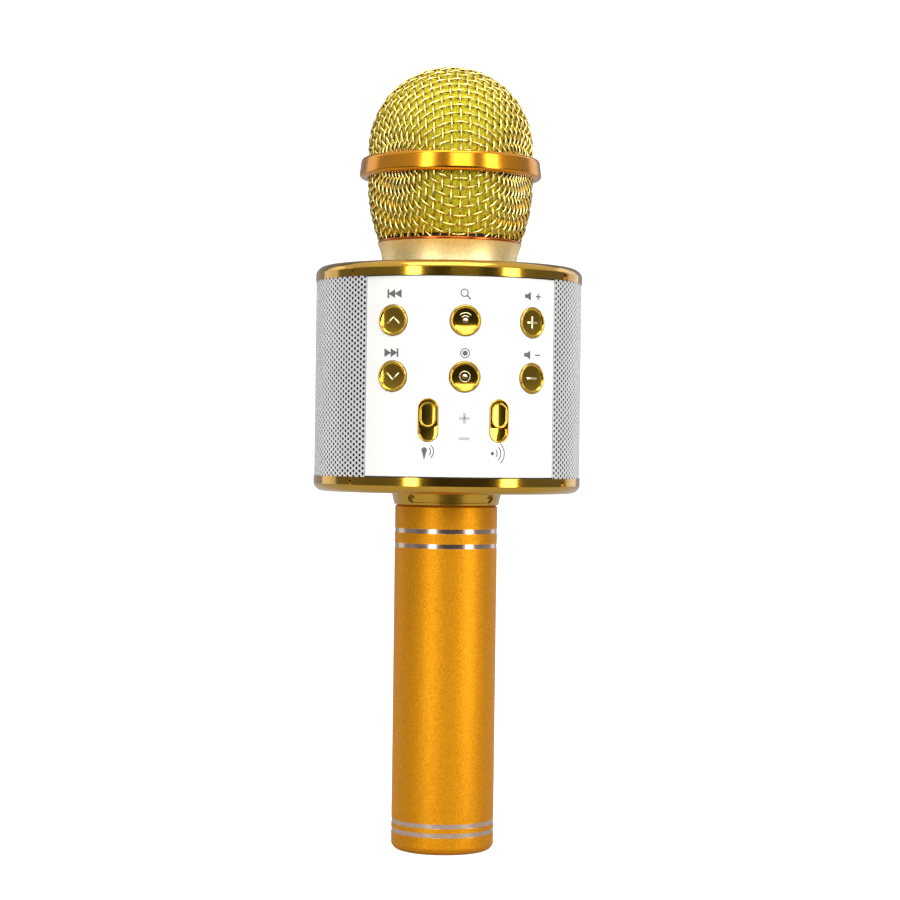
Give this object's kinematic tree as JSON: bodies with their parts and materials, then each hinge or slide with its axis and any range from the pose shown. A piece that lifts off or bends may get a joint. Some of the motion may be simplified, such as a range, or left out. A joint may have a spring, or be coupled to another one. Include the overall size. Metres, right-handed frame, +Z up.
{
  "type": "karaoke microphone",
  "caption": "Handheld karaoke microphone with a woven ball head, a round speaker drum carrying push buttons and slide controls, and a straight tubular handle.",
  "frame": {"origin": "centre of the handle's foot", "axes": "+Z up the handle to the ball head; the control panel faces -Y; +X is on the right seen from the front"},
  "size_m": [0.0834, 0.0836, 0.2449],
  "materials": {
    "gold_mesh": "woven gold-plated wire",
    "gold_band": "brushed gold",
    "copper_lip": "polished orange-brown",
    "satin_gold": "fine satin pale gold",
    "plated_gold": "mirror gold plating on moulded plastic",
    "anodised_handle": "fine-grained anodised orange gold with polished bands",
    "white_panel": "glossy warm white",
    "silver_grille": "perforated silver-white sheet",
    "foam": "open-cell foam",
    "black_plastic": "moulded",
    "boot_rubber": "matt",
    "capsule_metal": "bright nickel",
    "circuit_board": "green solder mask",
    "speaker_steel": "black enamel",
    "magnet_ferrite": "ground ferrite",
    "cone_paper": "pressed black paper",
    "cell_wrap": "shrunk film",
    "screw_steel": "zinc plated",
    "lead_sheath": "soft sheath",
    "lamp_lens": "clear red lens"
  },
  "bodies": {
    "housing": {"grille_dome": "gold_mesh", "grille_cup": "gold_mesh", "grille_ring": "gold_band", "grille_base_ring": "copper_lip", "neck_collar": "satin_gold", "handle_collar": "satin_gold", "top_plate": "plated_gold", "bottom_plate": "plated_gold", "mic_volume_bezel": "plated_gold", "echo_bezel": "plated_gold", "handle_tube": "anodised_handle", "end_cap": "anodised_handle", "front_panel": "white_panel", "rear_panel": "white_panel", "speaker_grille_left": "silver_grille", "speaker_grille_right": "silver_grille", "foam_liner": "foam", "body_frame": "black_plastic", "battery_sleeve": "black_plastic", "capsule_mount": "black_plastic", "handle_stem": "black_plastic", "card_socket": "black_plastic", "audio_jack": "black_plastic", "power_switch_body": "black_plastic", "key_switches": "black_plastic", "fader_bodies": "black_plastic", "capsule_boot": "boot_rubber", "speaker_surround_left": "boot_rubber", "speaker_surround_right": "boot_rubber", "microphone_capsule": "capsule_metal", "charge_socket": "capsule_metal", "front_board": "circuit_board", "rear_board": "circuit_board", "speaker_basket_left": "speaker_steel", "speaker_basket_right": "speaker_steel", "speaker_magnet_left": "magnet_ferrite", "speaker_magnet_right": "magnet_ferrite", "battery_cell": "cell_wrap", "frame_screws": "screw_steel", "speaker_screws": "screw_steel", "board_screws": "screw_steel", "battery_leads": "lead_sheath", "microphone_lead": "lead_sheath", "speaker_leads": "lead_sheath", "board_cable": "lead_sheath", "charge_lamp": "lamp_lens"},
    "previous_button": {"previous_button": "plated_gold"},
    "next_button": {"next_button": "plated_gold"},
    "scan_button": {"scan_button": "plated_gold"},
    "record_button": {"record_button": "plated_gold"},
    "volume_up_button": {"volume_up_button": "plated_gold"},
    "volume_down_button": {"volume_down_button": "plated_gold"},
    "mic_volume_slider": {"mic_volume_slider": "plated_gold"},
    "echo_slider": {"echo_slider": "plated_gold"},
    "power_knob": {"power_knob": "black_plastic"},
    "speaker_cone_left": {"speaker_cone_left": "cone_paper"},
    "speaker_cone_right": {"speaker_cone_right": "cone_paper"}
  },
  "joints": [
    {"name": "previous_button_press", "type": "slide", "parent": "housing", "child": "previous_button", "axis": [0.5105, 0.8599, 0], "range_m": [0, 0.0005], "stiffness_N_per_m": 1500},
    {"name": "next_button_press", "type": "slide", "parent": "housing", "child": "next_button", "axis": [0.5105, 0.8599, 0], "range_m": [0, 0.0005], "stiffness_N_per_m": 1500},
    {"name": "scan_button_press", "type": "slide", "parent": "housing", "child": "scan_button", "axis": [0, 1, 0], "range_m": [0, 0.0005], "stiffness_N_per_m": 1500},
    {"name": "record_button_press", "type": "slide", "parent": "housing", "child": "record_button", "axis": [0, 1, 0], "range_m": [0, 0.0005], "stiffness_N_per_m": 1500},
    {"name": "volume_up_button_press", "type": "slide", "parent": "housing", "child": "volume_up_button", "axis": [-0.5105, 0.8599, 0], "range_m": [0, 0.0005], "stiffness_N_per_m": 1500},
    {"name": "volume_down_button_press", "type": "slide", "parent": "housing", "child": "volume_down_button", "axis": [-0.5105, 0.8599, 0], "range_m": [0, 0.0005], "stiffness_N_per_m": 1500},
    {"name": "mic_volume_slider_move", "type": "slide", "parent": "housing", "child": "mic_volume_slider", "axis": [0, 0, 1], "range_m": [-0.0038, 0.0006]},
    {"name": "echo_slider_move", "type": "slide", "parent": "housing", "child": "echo_slider", "axis": [0, 0, 1], "range_m": [-0.0038, 0.0006]},
    {"name": "power_knob_move", "type": "slide", "parent": "housing", "child": "power_knob", "axis": [0, 0, 1], "range_m": [-0.003, 0]},
    {"name": "speaker_cone_left_beat", "type": "slide", "parent": "housing", "child": "speaker_cone_left", "axis": [-1, 0, 0], "range_m": [-0.0008, 0.0008], "stiffness_N_per_m": 2000},
    {"name": "speaker_cone_right_beat", "type": "slide", "parent": "housing", "child": "speaker_cone_right", "axis": [1, 0, 0], "range_m": [-0.0008, 0.0008], "stiffness_N_per_m": 2000}
  ]
}
